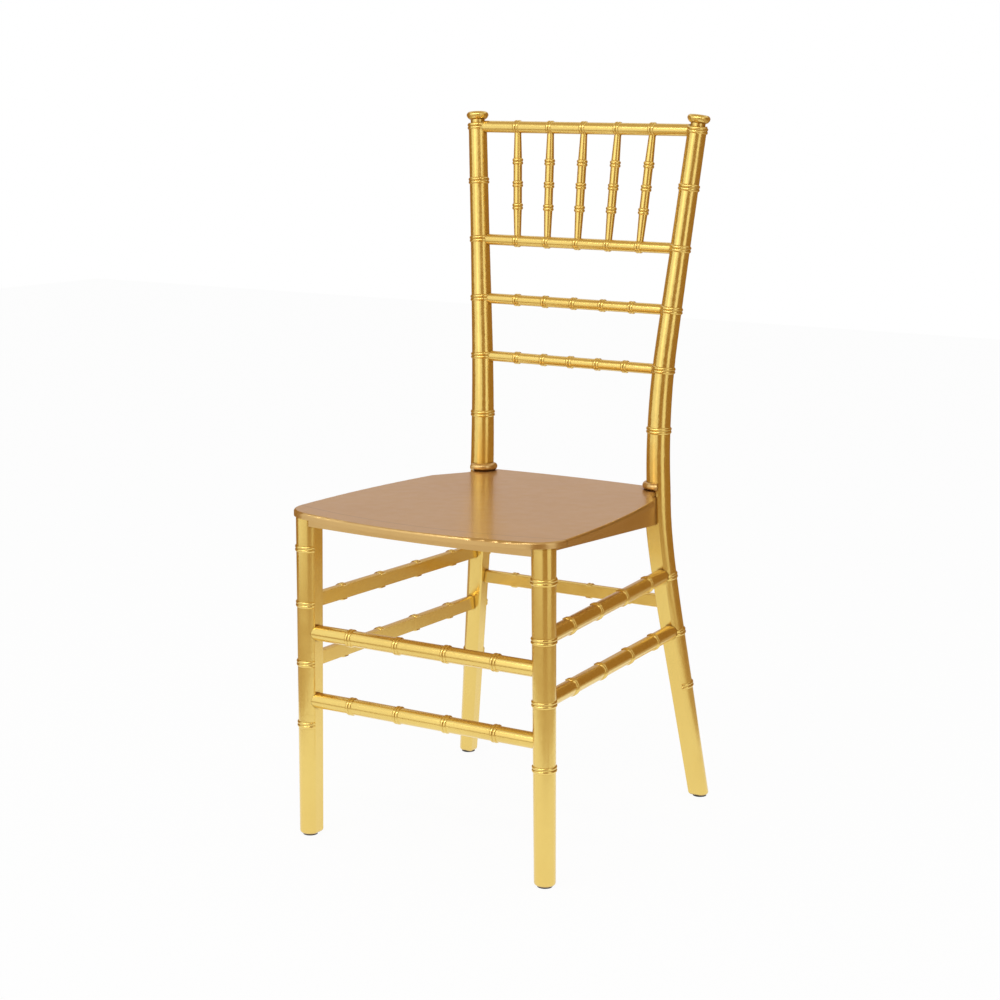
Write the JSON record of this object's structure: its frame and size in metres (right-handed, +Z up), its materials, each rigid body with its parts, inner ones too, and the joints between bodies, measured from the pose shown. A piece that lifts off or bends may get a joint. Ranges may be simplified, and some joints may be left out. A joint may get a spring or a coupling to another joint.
{
  "type": "chiavari chair",
  "caption": "Gold moulded resin chiavari chair with ringed bamboo-like bars, a spindle back, half-round leg rails and a thin flat seat.",
  "frame": {"origin": "on the floor, under the middle of the chair's box", "axes": "+Z up, the chair faces -Y, +X is to the right of someone looking at its front"},
  "size_m": [0.397, 0.4754, 0.92],
  "materials": {
    "gold_resin": "satin metallic gold moulded resin",
    "seat_resin": "satin metallic gold moulded resin, slightly duller on the flat top",
    "glide_rubber": "matt dark glide",
    "bolt_steel": "zinc-plated steel",
    "insert_brass": "plain turned brass"
  },
  "bodies": {
    "root": {"upright_left": "gold_resin", "upright_right": "gold_resin", "crest_rail": "gold_resin", "spindle_rail": "gold_resin", "back_rail_upper": "gold_resin", "back_rail_lower": "gold_resin", "spindle_1": "gold_resin", "spindle_2": "gold_resin", "spindle_3": "gold_resin", "spindle_4": "gold_resin", "spindle_5": "gold_resin", "front_leg_left": "gold_resin", "front_leg_right": "gold_resin", "front_rail_upper": "gold_resin", "front_rail_lower": "gold_resin", "side_rail_left_upper": "gold_resin", "side_rail_left_lower": "gold_resin", "side_rail_right_upper": "gold_resin", "side_rail_right_lower": "gold_resin", "rear_rail": "gold_resin", "seat": "seat_resin", "foot_glide_front_left": "glide_rubber", "foot_glide_front_right": "glide_rubber", "foot_glide_rear_left": "glide_rubber", "foot_glide_rear_right": "glide_rubber", "seat_bolts": "bolt_steel", "leg_inserts": "insert_brass"}
  },
  "joints": []
}
